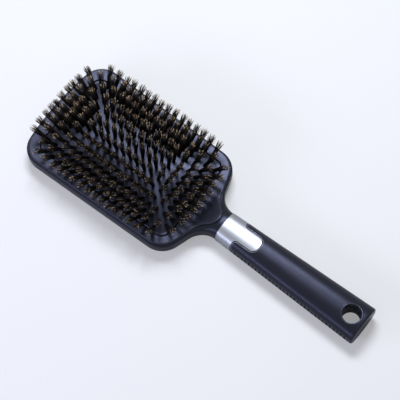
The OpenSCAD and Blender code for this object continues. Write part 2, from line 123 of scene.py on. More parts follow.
# Handle: its section at the collar and at the end, and what sits on it.
HANDLE_W, END_W, HANDLE_T, FRONT_THIN, SQUARENESS = 21.0, 27.2, 18.4, 1.0, 2.4
AXIS_Z = HANDLE_T / 2
COLLAR_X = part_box("collar")[0].x / MM - FAR
COLLAR_L, TONGUE_L, TONGUE_W, TIP_R, ROOT_R, COLLAR_T = 11.8, 16.4, 10.8, 4.4, 3.0, 1.3
COLLAR_END = COLLAR_X + COLLAR_L
COLLAR_GAP, COLLAR_ROUND = 0.5, 0.16
GRIP_T, END_EDGE = 1.4, 1.3
BEAD_OFFSET, BEAD_HALF_W, BEAD_RISE, BEAD_SINK, BEAD_SIDES = 0.32, 0.32, 0.26, 0.10, 8
HOLE_R, HOLE_X = 6.2, TOTAL_L - 9.8
EYELET_T, EYELET_GAP, EYELET_ROUND = 1.1, 0.08, 0.55
RIB_PITCH, RIB_GAP, RIB_DEPTH, RIB_ROUND = 2.86, 1.0, 0.8, 0.3
NECK_W, NECK_H = HANDLE_W - 0.6, HANDLE_T - FRONT_THIN - 0.6
BELOW, ABOVE, BESIDE = -5, 25, 20.0  # clear of the handle, for cutters
BASE = "brush_base"

# Camera fitted to the photograph's outlines, and the stage.
CAMERA_AT = (374.5, -269.4, 942.7)
CAMERA_FORWARD = (-0.25416, 0.27269, -0.92793)
CAMERA_UP = (-0.56453, 0.73720, 0.37127)
CAMERA_LENS, SENSOR_W = 138.7, 36.0
MIDDLE = (0, 0, 0.01)
FLOOR, FLOOR_Z, FLOOR_GLOW = 4000, -0.02, 0.35


# ---------------------------------------------------------------- outlines

def turn(degrees):
    """Unit vector at an angle from +X."""
    return np.array([math.cos(math.radians(degrees)), math.sin(math.radians(degrees))])


def arc(centre, r, a0, a1, n=90):
    """Points of an arc from one angle to another."""
    return [centre + r * turn(a0 + (a1 - a0) * i / n) for i in range(n + 1)]


def spread(points, n):
    """n + 1 points at even steps along a line of points."""
    p = np.array(points)
    run = np.concatenate([[0], np.cumsum(np.linalg.norm(np.diff(p, axis=0), axis=1))])
    at = np.linspace(0, run[-1], n + 1)
    return np.stack([np.interp(at, run, p[:, 0]), np.interp(at, run, p[:, 1])], 1)


def joined(parts):
    """One line from parts that share their end points."""
    return np.concatenate([parts[0]] + [p[1:] for p in parts[1:]])


# Steps along each part of the head's outline.
FAR_N, CORNER_N, SIDE_N, SHOULDER_N, NOSE_N = 12, 16, 48, 26, 26


def head_parts(step):
    """Half of the head's outline drawn in by step: far end, corner, side and near corner."""
    to_corner = FAR_BOW_R - FAR_CORNER_R
    far_a = math.degrees(math.asin((HALF_W - FAR_CORNER_R) / to_corner))
    centre = np.array([FAR_BOW_R, 0.0])
    aim = np.array([math.cos(math.radians(far_a)), -math.sin(math.radians(far_a))])
    far_c = centre - to_corner * aim
    side_a = 90 - TAPER_A
    side_0 = far_c + FAR_CORNER_R * turn(side_a)
    side_l = (OPEN_INSET + OPEN_L - SIDE_SHORT - side_0[0]) / math.cos(math.radians(TAPER_A))
    side_1 = side_0 + side_l * turn(side_a - 90)
    near_c = side_1 - NEAR_CORNER_R * turn(side_a)
    return [
        spread(arc(centre, FAR_BOW_R - step, 180, 180 - far_a), FAR_N),
        spread(arc(far_c, FAR_CORNER_R - step, 180 - far_a, side_a), CORNER_N),
        spread([side_0 - step * turn(side_a), side_1 - step * turn(side_a)], SIDE_N),
        spread(arc(near_c, NEAR_CORNER_R - step, side_a, 90 - SHOULDER_A), CORNER_N),
    ]


def shoulder_line(corner, r, end_a, end_y):
    """From the near corner down a straight face into a hollow of radius r."""
    rise = corner[1] - r * (math.sin(math.radians(end_a)) - math.sin(math.radians(FACE_A)))
    length = (rise - end_y) / math.cos(math.radians(FACE_A))
    foot = corner + length * turn(FACE_A - 90)
    centre = foot + r * turn(FACE_A)
    return [corner] + [centre - r * turn(FACE_A + (end_a - FACE_A) * i / 90) for i in range(91)]


shell_head = head_parts(0)
shell_shoulder = shoulder_line(shell_head[-1][-1], SHELL_HOLLOW_R, 90, NECK_W / 2)
SHELL_END = COLLAR_X + 1.5
frame_head = head_parts(STEP)
frame_flank = shoulder_line(frame_head[-1][-1], FRAME_HOLLOW_R, NOSE_A,
                            NOSE_R * math.sin(math.radians(NOSE_A)))
nose_c = frame_flank[-1] - NOSE_R * turn(NOSE_A)
LIFT_0 = shell_head[2][-1][0] + NEAR_CORNER_R * 0.8
LIFT_1 = COLLAR_X - 1

shell_line = joined(shell_head + [spread(shell_shoulder, SHOULDER_N)])
shell_rest = spread([shell_shoulder[-1], [SHELL_END, NECK_W / 2]], 6)
shell_top_line = joined([shell_line, spread(
    [shell_shoulder[-1], [SHELL_END, NECK_W / 2], [SHELL_END, 0.0]], NOSE_N)])
frame_line = joined(frame_head + [
    spread(frame_flank, SHOULDER_N), spread(arc(nose_c, NOSE_R, NOSE_A, 0), NOSE_N)])


def opening_parts(d):
    """Half of the opening's outline drawn in by d, with as many points as the frame's."""
    hl, hw, q = OPEN_L / 2 - d, OPEN_W / 2 - d, max(OPEN_R - d, 0.4)
    far = [[-hl - END_BOW * (1 - t * t), (hw - q) * t] for t in np.linspace(0, 1, 12)]
    ends = [far, arc(np.array([-hl + q, hw - q]), q, 180, 90, 30),
            [[-hl + q, hw], [hl - q, hw]], arc(np.array([hl - q, hw - q]), q, 90, 0, 30),
            [[-x, y] for x, y in reversed(far)]]
    shift = np.array([OPEN_X, 0.0])
    return [spread(p, n) + shift for p, n in
            zip(ends, (FAR_N, CORNER_N, SIDE_N, CORNER_N, SHOULDER_N + NOSE_N))]


def normals(line):
    """Outward normals of an outline that runs from the far end round the +Y side."""
    t = np.gradient(line, axis=0)
    n = np.stack([-t[:, 1], t[:, 0]], 1)
    n[0] = [-1, 0]
    return n / np.linalg.norm(n, axis=1)[:, None]


# ---------------------------------------------------------------- heights

def lift(x):
    """How far the shell has turned into the neck: 0 in the head, 1 at the collar."""
    u = np.clip((np.asarray(x) - LIFT_0) / (LIFT_1 - LIFT_0), 0, 1)
    return u * u * (3 - 2 * u)


def oval(x, y):
    """Rise of the section above the axis; it is as wide as the shell is at x."""
    half = np.interp(x, shell_line[:, 0], shell_line[:, 1])
    inside = np.clip(1 - (np.abs(y) / np.maximum(half, 0.01)) ** SQUARENESS, 0, 1)
    return NECK_H / 2 * inside ** (1 / SQUARENESS)


def top_z(x, y):
    """Height of the shell's front."""
    return RIM_Z + lift(x) * (AXIS_Z + oval(x, y) - RIM_Z)


def back_z(x, y):
    """Height of the shell's back."""
    return lift(x) * (AXIS_Z - oval(x, y))


def fillet(r, d):
    """Drop of a rounded edge of radius r at a distance d from the edge."""
    d = np.minimum(d, r)
    return r - np.sqrt(r * r - (r - d) ** 2)


def fall(d):
    """Share of the crown's fall at a distance d from the opening's edge."""
    half = OPEN_W / 2
    return (1 - np.clip(d, 0, half) / half) ** CROWN_POWER


def pad_h(x, y):
    """Height of the cushion above the frame, from its own middle."""
    edge = fall(OPEN_L / 2 - np.abs(x)) + fall(OPEN_W / 2 - np.abs(y))
    return CROWN * (1 - np.minimum(edge, 1.0) ** (1 / 3))


def half_at(x):
    """Half the handle's width."""
    return (HANDLE_W + (END_W - HANDLE_W) * (x - COLLAR_X) / (TOTAL_L - COLLAR_X)) / 2


def tall_at(x):
    """Half the handle's height."""
    return (HANDLE_T - FRONT_THIN * (TOTAL_L - x) / (TOTAL_L - COLLAR_X)) / 2


# ---------------------------------------------------------------- meshes

def placed(points):
    """Millimetres from the far end to metres in the row frame."""
    p = np.array(points, float).reshape(-1, 3)
    p[:, 0] += FAR
    return p * MM


def mesh_object(name, points, faces, body=BASE):
    """Object from points in millimetres, riding on a body unless it is None."""
    mesh = bpy.data.meshes.new(name)
    mesh.from_pydata(placed(points).tolist(), [], faces)
    obj = bpy.data.objects.new(name, mesh)
    bpy.context.scene.collection.objects.link(obj)
    if body:
        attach(obj, body)
    return obj


WELD, LEAST_EDGE, ON_SURFACE = 2e-6, 1e-7, 3e-6


def tidy_mesh(obj, angle=35):
    """Joins points that lie together, turns the faces outwards and shades them."""
    b = bmesh.new()
    b.from_mesh(obj.data)
    bmesh.ops.remove_doubles(b, verts=b.verts, dist=WELD)
    bmesh.ops.dissolve_degenerate(b, edges=b.edges, dist=LEAST_EDGE)
    bmesh.ops.recalc_face_normals(b, faces=b.faces)
    b.to_mesh(obj.data)
    b.free()
    obj.data.shade_smooth()
    obj.data.set_sharp_from_angle(angle=math.radians(angle))
    return obj


def grid_faces(m, n, start=0, flip=False):
    """Faces between m rows of n points."""
    faces = []
    for i in range(m - 1):
        for j in range(n - 1):
            a = start + i * n + j
            q = (a, a + 1, a + n + 1, a + n)
            faces.append(q[::-1] if flip else q)
    return faces


def tube_faces(m, n, start=0):
    """Faces round a tube of m rings of n points."""
    faces = []
    for i in range(m - 1):
        for j in range(n):
            a, b = start + i * n + j, start + i * n + (j + 1) % n
            faces.append((a, b, b + n, a + n))
    return faces


def tube_ends(m, n, start=0):
    """The two faces that close a tube of m rings of n points."""
    last = start + (m - 1) * n
    return [tuple(range(start, start + n))[::-1], tuple(range(last, last + n))]


def mirrored(name, grids, angle=35):
    """One mesh from grids of points on the +Y side and their mirror images."""
    points, faces = [], []
    for g in grids:
        g = np.array(g, float)
        m, n = g.shape[:2]
        for side in (1, -1):
            start = len(points)
            points.extend((g * [1, side, 1]).reshape(-1, 3))
            faces.extend(grid_faces(m, n, start, side < 0))
    return tidy_mesh(mesh_object(name, points, faces), angle)


def closing(row):
    """Grid that joins a row of points to the mirror plane."""
    row = np.array(row, float)
    return [row, row * [1, 0, 1]]


def prism(name, plan, z0, z1):
    """Closed prism over a plan outline, used as a cutter."""
    n = len(plan)
    points = [[x, y, z0] for x, y in plan] + [[x, y, z1] for x, y in plan]
    faces = [tuple(range(n))[::-1], tuple(range(n, 2 * n))]
    faces += [(i, (i + 1) % n, n + (i + 1) % n, n + i) for i in range(n)]
    return tidy_mesh(mesh_object(name, points, faces, None))


def apply_modifiers(obj):
    """Makes the modifiers' result the mesh itself."""
    graph = bpy.context.evaluated_depsgraph_get()
    made = bpy.data.meshes.new_from_object(obj.evaluated_get(graph))
    obj.modifiers.clear()
    obj.data = made


def copy_of(obj):
    """The uncut form, kept outside the scene for its normals."""
    source = obj.copy()
    source.data = obj.data.copy()
    return source


def cut(obj, cutter, how="DIFFERENCE"):
    """Applies one Boolean and removes its cutter."""
    mod = obj.modifiers.new("cut", "BOOLEAN")
    mod.operation, mod.object, mod.solver = how, cutter, "EXACT"
    apply_modifiers(obj)
    bpy.data.objects.remove(cutter)


def bevel(obj, width):
    """Rounds the sharp edges of a cut piece a little."""
    mod = obj.modifiers.new("edges", "BEVEL")
    mod.width, mod.segments, mod.limit_method = width * MM, 2, "ANGLE"
    mod.angle_limit = math.radians(50)
    apply_modifiers(obj)


def smooth_like(obj, source, angle=30):
    """Gives faces that still lie on the source's surface the source's own normals."""
    b = bmesh.new()
    b.from_mesh(source.data)
    bmesh.ops.triangulate(b, faces=b.faces)
    tree = BVHTree.FromBMesh(b)
    b.normal_update()
    b.verts.ensure_lookup_table()
    b.faces.ensure_lookup_table()
    mesh = obj.data
    mesh.shade_smooth()
    mesh.set_sharp_from_angle(angle=math.radians(angle))
    found = {}
    for v in mesh.vertices:
        where, _, index, away = tree.find_nearest(v.co)
        if where is None or away > ON_SURFACE:
            continue
        corners = b.faces[index].verts
        area = [(corners[(k + 1) % 3].co - where).cross(corners[(k + 2) % 3].co - where).length
                for k in range(3)]
        total = sum(area) or 1.0
        found[v.index] = sum((corners[k].normal * area[k] for k in range(3)), Vector()) / total
    b.free()
    loops = [Vector(n.vector) for n in mesh.corner_normals]
    for f in mesh.polygons:
        if all(v in found and found[v].dot(f.normal) > 0.8 for v in f.vertices):
            for k, v in zip(f.loop_indices, f.vertices):
                loops[k] = found[v].normalized()
    mesh.normals_split_custom_set(loops)


# ---------------------------------------------------------------- materials

def nodes_of(name):
    """New material with its node tree and its shader."""
    mat = bpy.data.materials.new(name)
    mat.use_nodes = True
    tree = mat.node_tree
    return mat, tree, tree.nodes["Principled BSDF"]


def put(tree, kind, **values):
    """New node; each value goes to the setting or the input of that name."""
    node = tree.nodes.new(kind)
    for key, value in values.items():
        if hasattr(node, key):
            setattr(node, key, value)
        else:
            node.inputs[key.replace("_", " ")].default_value = value
    return node


def noise(tree, scale, detail, stretch=None):
    """Noise fixed to the object, stretched along an axis where that is given."""
    where = put(tree, "ShaderNodeTexCoord").outputs["Object"]
    if stretch:
        mapping = put(tree, "ShaderNodeMapping", Scale=stretch)
        tree.links.new(where, mapping.inputs["Vector"])
        where = mapping.outputs["Vector"]
    made = put(tree, "ShaderNodeTexNoise", Scale=scale, Detail=detail)
    tree.links.new(where, made.inputs["Vector"])
    return made.outputs["Fac"]


def ramp(tree, fac, stops):
    """Colour ramp with a colour at each stop."""
    node = put(tree, "ShaderNodeValToRGB")
    tree.links.new(fac, node.inputs["Fac"])
    elements = node.color_ramp.elements
    while len(elements) < len(stops):
        elements.new(0.5)
    for e, (at, colour) in zip(elements, stops):
        e.position = at
        e.color = (*colour, 1)
    return node.outputs["Color"]


def between(tree, fac, low, high):
    """Spreads a noise's middle part from low to high."""
    node = put(tree, "ShaderNodeMapRange", From_Min=0.3, From_Max=0.7, To_Min=low, To_Max=high)
    tree.links.new(fac, node.inputs["Value"])
    return node.outputs["Result"]


def bump(tree, shader, fac, distance):
    """Fine relief, its depth in metres."""
    node = put(tree, "ShaderNodeBump", Distance=distance, Strength=1.0)
    tree.links.new(fac, node.inputs["Height"])
    tree.links.new(node.outputs["Normal"], shader.inputs["Normal"])


MOTTLE = 45.0
COOL_SHEEN = (0.62, 0.67, 1.0, 1.0)


def plastic(name, dark, light, rough, grain, depth, **sockets):
    """Moulded plastic or rubber: mottled colour, uneven gloss, a cool sheen and a fine grain."""
    mat, tree, shader = nodes_of(name)
    tree.links.new(ramp(tree, noise(tree, MOTTLE, 5), [(0.3, dark), (0.7, light)]),
                   shader.inputs["Base Color"])
    tree.links.new(between(tree, noise(tree, MOTTLE * 2.3, 6), *rough), shader.inputs["Roughness"])
    bump(tree, shader, noise(tree, grain, 2), depth)
    shader.inputs["Specular Tint"].default_value = COOL_SHEEN
    for key, value in sockets.items():
        shader.inputs[key.replace("_", " ")].default_value = value
    return mat


def silver():
    """Satin silver, finely brushed round the handle."""
    mat, tree, shader = nodes_of("satin_silver")
    lines = noise(tree, 260, 4, stretch=(14, 1, 1))
    tree.links.new(ramp(tree, lines, [(0.25, (0.23, 0.24, 0.27)), (0.75, (0.26, 0.27, 0.30))]),
                   shader.inputs["Base Color"])
    tree.links.new(between(tree, lines, 0.36, 0.42), shader.inputs["Roughness"])
    bump(tree, shader, lines, 8e-7)
    shader.inputs["Metallic"].default_value = 1.0
    return mat


def bristle():
    """Black-brown bristle; the last millimetre of some bristles turns golden.

    The strand map holds the place along a bristle in X and how golden its tip is in Y.
    """
    mat, tree, shader = nodes_of("bristle")
    uv = put(tree, "ShaderNodeUVMap", uv_map="strand")
    split = put(tree, "ShaderNodeSeparateXYZ")
    tree.links.new(uv.outputs["UV"], split.inputs["Vector"])
    golden = ramp(tree, split.outputs["X"], [
        (0.0, (0.007, 0.007, 0.008)), (0.62, (0.012, 0.009, 0.008)),
        (0.915, (0.040, 0.026, 0.016)), (0.96, (0.95, 0.70, 0.43))])
    plain = ramp(tree, split.outputs["X"], [
        (0.0, (0.006, 0.006, 0.007)), (0.95, (0.018, 0.014, 0.011))])
    mix = put(tree, "ShaderNodeMix", data_type="RGBA")
    tree.links.new(split.outputs["Y"], mix.inputs["Factor"])
    low, high = [s for s in mix.inputs if s.type == "RGBA"]
    tree.links.new(plain, low)
    tree.links.new(golden, high)
    tree.links.new([s for s in mix.outputs if s.type == "RGBA"][0], shader.inputs["Base Color"])
    tree.links.new(between(tree, noise(tree, 900, 3), 0.42, 0.54), shader.inputs["Roughness"])
    shader.inputs["Specular IOR Level"].default_value = 0.15
    return mat


def make_materials():
    """Of each plastic: darkest and lightest colour, roughness, grain's scale and its depth."""
    return {
        "shell": plastic("gloss_black", (0.004, 0.004, 0.006), (0.008, 0.008, 0.011),
                         (0.28, 0.34), 1400, 1.2e-6, Specular_IOR_Level=0.22),
        "frame": plastic("satin_black", (0.011, 0.011, 0.017), (0.017, 0.017, 0.025),
                         (0.30, 0.35), 5200, 9e-6, Specular_IOR_Level=0.34),
        "rubber": plastic("black_rubber", (0.004, 0.004, 0.006), (0.008, 0.008, 0.012),
                          (0.29, 0.37), 2600, 8e-6, Specular_IOR_Level=0.36),
        "grip": plastic("soft_grip", (0.006, 0.006, 0.009), (0.011, 0.011, 0.016),
                        (0.28, 0.34), 4200, 1.0e-5, Specular_IOR_Level=0.22),
        "ribs": plastic("soft_ribs", (0.009, 0.009, 0.013), (0.016, 0.016, 0.022),
                        (0.36, 0.48), 4200, 1.0e-5, Specular_IOR_Level=0.35),
        # The bead is the grip's black rubber; its lighter grey is a painted highlight, the light
        # line that its edge catches.
        "bead": plastic("grip_bead_painted_highlight", (0.090, 0.093, 0.112), (0.120, 0.124, 0.145),
                        (0.16, 0.24), 4200, 2e-6, Specular_IOR_Level=0.8),
        "eyelet": plastic("eyelet_black", (0.009, 0.009, 0.012), (0.016, 0.016, 0.020),
                          (0.20, 0.30), 2400, 3e-6, Specular_IOR_Level=0.5),
        "core": plastic("core_plastic", (0.008, 0.008, 0.009), (0.014, 0.014, 0.016),
                        (0.5, 0.6), 2400, 6e-6),
        "pin": plastic("steel_pin", (0.5, 0.5, 0.52), (0.6, 0.6, 0.62), (0.3, 0.4), 2400, 2e-6,
                       Metallic=1.0, Specular_Tint=(1, 1, 1, 1)),
        "silver": silver(),
        "bristle": bristle(),
    }


def dress(obj, material, slot, *nodes):
    """Material, record slot, which is not used, and the CAD nodes that the piece stands for."""
    obj.data.materials.clear()
    obj.data.materials.append(material)
    if nodes:
        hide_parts(*nodes)


# ---------------------------------------------------------------- head

def steps(n, power=1.0):
    """From 0 to 1 in n steps, closer together near 0 with a higher power."""
    return (np.arange(n + 1) / n) ** power


def shell_top_grid():
    """From the shell's outline to the groove round the frame, and down into the groove."""
    grown = frame_line + SEAM * normals(frame_line)
    grown[-1] = [frame_line[-1][0] + SEAM, 0]
    rows = []
    for outer, inner in zip(shell_top_line, grown):
        row = []
        for t in steps(18, 1.8):
            p = outer + (inner - outer) * t
            d = float(np.linalg.norm(p - outer))
            edge = (1 - lift(p[0])) * fillet(RIM_ROUND, d)
            row.append([p[0], p[1], top_z(p[0], p[1]) - edge])
        x, y, z = row[-1]
        row += [[x, y, z - GROOVE_LIP], [x, y, z - GROOVE_DEPTH]]
        rows.append(row)
    deep = np.array([r[-1] for r in rows])
    inward = joined(opening_parts(-LEDGE_IN))
    ledge = [[a, [b[0], b[1], RIM_Z - LEDGE_DROP]] for a, b in zip(deep, inward)]
    return [rows, ledge]


def shell_back_grid():
    """Side wall and back, from the rim down and in towards the middle."""
    line = joined([shell_line, shell_rest])
    n = normals(line)
    n[len(shell_line):] = [0, 1]
    rows = []
    for p, k in zip(line, n):
        up = float(lift(p[0]))
        row = []
        high = top_z(p[0], p[1]) - (1 - up) * RIM_ROUND
        low = back_z(p[0], p[1]) + (1 - up) * BACK_ROUND
        for t in steps(6):
            row.append([p[0], p[1], high + (low - high) * t])
        for t in steps(16, 1.8)[1:]:
            d = BACK_REACH * t
            q = p - d * k
            row.append([q[0], q[1], back_z(q[0], q[1]) + (1 - up) * fillet(BACK_ROUND, d)])
        rows.append(row)
    last = [r[-1] for r in rows]
    middle = [[x, y * (1 - t), float(back_z(x, y * (1 - t)))] for x, y, _ in last for t in steps(5)]
    end = [[SHELL_END, y, z] for y in np.linspace(0, NECK_W / 2, 24)
           for z in (AXIS_Z - oval(SHELL_END, y), AXIS_Z + oval(SHELL_END, y))]
    return [rows, np.array(middle).reshape(len(last), 6, 3), np.array(end).reshape(24, 2, 3)]


def build_shell(materials):
    """The tray of the head with its back and neck."""
    obj = mirrored("back_shell_body", shell_top_grid() + shell_back_grid())
    dress(obj, materials["shell"], "gloss_black", "back_shell")


def build_frame(materials):
    """The satin plate round the cushion, with its rounded nose."""
    n = normals(frame_line)
    n[-1] = [1, 0]
    lip = joined(opening_parts(0.0))
    outer_lip = joined(opening_parts(-PLATE_LIP))
    rows = []
    for p, k, o, q in zip(frame_line, n, lip, outer_lip):
        row = [[p[0], p[1], top_z(p[0], p[1]) - (FRAME_T - PROUD)]]
        for d in PLATE_ROUND * steps(7, 1.6):
            x, y = p - d * k
            row.append([x, y, top_z(p[0], p[1]) + PROUD - fillet(PLATE_ROUND, d)
                        + (top_z(x, y) - top_z(p[0], p[1]))])
        start = p - PLATE_ROUND * k
        for t in steps(22)[1:]:
            x, y = start + (q - start) * t
            row.append([x, y, top_z(x, y) + PROUD])
        for a in (30, 60, 90):
            w = math.sin(math.radians(a))
            x, y = q + (o - q) * w
            row.append([x, y, RIM_Z + PROUD - PLATE_LIP * (1 - math.cos(math.radians(a)))])
        row.append([o[0], o[1], HEAD_T - FRAME_T])
        rows.append(row)
    under = [[row[0], row[-1]] for row in rows]
    obj = mirrored("front_plate", [rows, under])
    dress(obj, materials["frame"], "satin_black", "front_frame")


def build_cushion(materials):
    """The rubber pad: drawn in at the frame's opening and crowned over its whole length.

    Its underside lies so deep that no bristle's root comes through when it is pressed flat.
    """
    rings = []
    depth = [(0.35, -PAD_UNDER), (0.35, -0.55), (0.5, -0.2), (0.75, 0.02)]
    insets = [1.1, 1.5, 2.1, 2.9, 3.9, 5.0] + list(np.linspace(6.3, OPEN_W / 2 - 0.6, 26))
    for d, z in depth:
        rings.append([[x, y, HEAD_T + z] for x, y in joined(opening_parts(d))])
    for d in insets:
        rings.append([[x, y, HEAD_T + float(pad_h(x - OPEN_X, y))]
                      for x, y in joined(opening_parts(d))])
    grid = np.array(rings)
    grid[:, 0, 1] = 0
    grid[:, -1, 1] = 0
    obj = mirrored("rubber_cushion", [grid, closing(grid[-1]), closing(grid[0])], angle=60)
    dress(obj, materials["rubber"], "black_rubber", "cushion")
    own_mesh(obj)


# ---------------------------------------------------------------- tufts

def tuft_places(k, side):
    """Places of the tufts of one side of ring k, as in the CAD source."""
    def x(c):
        return (c - (COLUMNS + 1) / 2) * PITCH_X

    def y(r):
        return (r - (ROWS + 1) / 2) * PITCH_Y

    if side in ("left", "right"):
        skip = 1 if k == 1 else 0
        row = ROWS + 1 - k if side == "left" else k
        return [(x(c), y(row)) for c in range(k + skip, COLUMNS + 2 - k - skip)]
    column = k if side == "far" else COLUMNS + 1 - k
    return [(x(column), y(r)) for r in range(k + 1, ROWS + 1 - k)]


def lean_at(x, y):
    """Direction of a tuft: the pad's slope, made steeper."""
    gx = SPLAY * END_SPLAY * float(pad_h(x - NUDGE, y) - pad_h(x + NUDGE, y)) / (2 * NUDGE)
    gy = SPLAY * float(pad_h(x, y - NUDGE) - pad_h(x, y + NUDGE)) / (2 * NUDGE)
    v = np.array([gx, gy, 1.0])
    return v / np.linalg.norm(v)


def on_rubber(root, axis):
    """How far each root slides along the tuft's axis to lie ROOT_DEPTH under the pad."""
    slide = np.zeros(len(root))
    for _ in range(4):
        at = root + axis * slide[:, None]
        slide += (HEAD_T + pad_h(at[:, 0], at[:, 1]) - ROOT_DEPTH - at[:, 2]) / axis[2]
    return slide


def gathered(rng, tips, reach):
    """Draws a tuft's tips into spots. Gives the tips, which are bound and how golden each is."""
    count = len(tips)
    spots = rng.integers(*SPOTS)
    turned = rng.uniform(0, ROUND) + np.arange(spots) * ROUND / (spots - 1)
    c = turned + rng.normal(0, 0.3, spots)
    out = rng.uniform(*SPOT_OUT, spots) * reach
    centres = np.stack([np.cos(c), np.sin(c)], 1) * out[:, None]
    centres[-1] *= 0.2
    away = np.linalg.norm(tips[:, None] - centres, axis=2)
    nearest = np.argmin(away, axis=1)
    order = np.argsort(np.min(away, axis=1))
    rank = np.zeros(count, int)
    for spot in range(spots):
        own = order[nearest[order] == spot]
        rank[own] = np.arange(len(own))
    bound = rank < rng.integers(*SPOT_HOLDS, spots)[nearest]
    pull = np.where(bound, rng.uniform(*BOUND_PULL, count), rng.uniform(*LOOSE_PULL, count))
    tips = tips + (centres[nearest] - tips) * pull[:, None]
    gold = rng.uniform(*SPOT_GOLD, spots)[nearest] * rng.uniform(*TIP_GOLD, count)
    return tips, bound, np.where(bound, gold, 0.0)


def tuft_strands(rng, place):
    """One tuft's bristles: their points at each level, how golden they are and how thick."""
    x, y = place
    axis = lean_at(x, y)
    side = np.cross([0, 0, 1], axis) if abs(axis[2]) < 0.999 else np.array([1.0, 0, 0])
    side /= np.linalg.norm(side)
    other = np.cross(axis, side)
    axis = axis + rng.normal(0, UNEVEN_LEAN, 2) @ [side, other]
    axis /= np.linalg.norm(axis)
    i = np.arange(BRISTLES)
    r = np.sqrt((i + 0.5) / BRISTLES)
    a = i * GOLDEN_ANGLE + rng.uniform(0, ROUND)
    flat = np.stack([r * np.cos(a), r * np.sin(a)], 1)
    reach = ROOT_SPREAD + rng.uniform(0.8, 1.2) * TIP_SPREAD
    tips = flat * reach + rng.normal(0, TIP_SCATTER, (BRISTLES, 2))
    tips, bound, gold = gathered(rng, tips, reach)
    root = np.array([x, y, HEAD_T + float(pad_h(x, y))]) + (flat * ROOT_SPREAD) @ [side, other]
    slide = on_rubber(root, axis)
    root += axis * slide[:, None]
    less = (SHORTER * rng.beta(1.2, 2.2, BRISTLES)
            + SHORTER_OUTSIDE * r * r * rng.uniform(0, 1, BRISTLES))
    length = TUFT_L * (1.0 - np.where(bound, BOUND_SHORT, 1.0) * less)
    spread_by = (tips - flat * ROOT_SPREAD) @ [side, other]
    lines = []
    for t in STRAND_AT:
        bend = rng.normal(0, BEND, (BRISTLES, 3)) * t * (1 - t) * 4
        lines.append(root + axis * ((length - slide) * t)[:, None]
                     + spread_by * t ** FLARE + bend)
    return lines, gold, np.where(bound, BOUND_THICK, 1.0)


def build_tufts(k, side, material):
    """Bristles of one side of ring k in one mesh, three-sided and tapering."""
    rng = np.random.default_rng(1000 * k + len(side))
    points, along, pick = [], [], []
    for place in tuft_places(k, side):
        lines, gold, thick = tuft_strands(rng, place)
        turn_by = rng.uniform(0, ROUND, BRISTLES)
        for s in range(BRISTLES):
            for at, line, r in zip(STRAND_AT, lines, STRAND_R):
                w = r * thick[s]
                for c in range(STRAND_SIDES):
                    a = turn_by[s] + c * 2 * math.pi / STRAND_SIDES
                    points.append(line[s] + [OPEN_X + w * math.cos(a), w * math.sin(a), 0])
                    along.append(at)
                    pick.append(gold[s])
    faces = []
    rings = len(STRAND_AT)
    for start in range(0, len(points), rings * STRAND_SIDES):
        faces += tube_faces(rings, STRAND_SIDES, start)
        faces += tube_ends(rings, STRAND_SIDES, start)[::-1]
    name = "bristles_%d_%s" % (k, side)
    obj = mesh_object(name, points, faces, "pad_zone_%d" % k)
    layer = obj.data.uv_layers.new(name="strand")
    corner = np.zeros(len(obj.data.loops), np.int32)
    obj.data.loops.foreach_get("vertex_index", corner)
    uv = np.stack([np.array(along)[corner], np.array(pick)[corner]], 1)
    layer.data.foreach_set("uv", uv.astype(np.float32).ravel())
    obj.data.shade_smooth()
    dress(obj, material, "bristle", "tufts_%d_%s" % (k, side))


# ---------------------------------------------------------------- handle

ROUND_N = 112


def handle_ring(x, inset):
    """Ring of points round the handle's section, drawn in by inset."""
    a = np.arange(ROUND_N) * 2 * math.pi / ROUND_N
    e = 2 / SQUARENESS
    w, h = half_at(x) - inset, tall_at(x) - inset
    y = w * np.sign(np.cos(a)) * np.abs(np.cos(a)) ** e
    z = AXIS_Z + h * np.sign(np.sin(a)) * np.abs(np.sin(a)) ** e
    return np.stack([np.full(ROUND_N, x), y, z], 1)


def handle_body(name, inset, x0, x1, edge=0.0):
    """Closed length of the handle's section, with its far edge rounded."""
    stations = [(x, inset) for x in np.linspace(x0, x1 - edge, max(3, int((x1 - x0) / 1.6)))]
    if edge:
        stations += [(x1 - edge + edge * math.sin(a), inset + edge * (1 - math.cos(a)))
                     for a in np.linspace(0, math.pi / 2, 8)[1:]]
    points = np.concatenate([handle_ring(x, i) for x, i in stations])
    faces = tube_faces(len(stations), ROUND_N) + tube_ends(len(stations), ROUND_N)
    return tidy_mesh(mesh_object(name, points, faces, None), 60)


def tongue_plan(d, ring_start=None):
    """Plan outline of a tongue grown by d. With ring_start it takes in the whole ring."""
    tip_x = COLLAR_END + TONGUE_L + d
    half = TONGUE_W / 2 + d
    tip = TIP_R + d
    root = ROOT_R - d
    side = [[tip_x - tip + tip * math.cos(a), half - tip + tip * math.sin(a)]
            for a in np.linspace(0, math.pi / 2, 14)]
    foot = [[COLLAR_END + d + root - root * math.sin(a), half + root - root * math.cos(a)]
            for a in np.linspace(0, math.pi / 2, 12)]
    tail = [[COLLAR_END - 4, half + root]]
    if ring_start:
        tail = [[COLLAR_END + d, BESIDE], [ring_start, BESIDE]]
    half_plan = [[tip_x, 0.0]] + side + foot + tail
    return half_plan + [[x, -y] for x, y in reversed(half_plan[1:])]


def build_collar(materials):
    """The ring and its two tongues, cut from one length of the handle's section."""
    obj = handle_body("collar_ring", 0.0, COLLAR_X, COLLAR_END + TONGUE_L + 2)
    source = copy_of(obj)
    cut(obj, handle_body("inner", COLLAR_T, COLLAR_X - 2, COLLAR_END + TONGUE_L + 4))
    cut(obj, prism("plan", tongue_plan(0.0, COLLAR_X - 1), BELOW, ABOVE), "INTERSECT")
    bevel(obj, COLLAR_ROUND)
    smooth_like(obj, source)
    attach(obj, BASE)
    dress(obj, materials["silver"], "satin_silver", "collar")


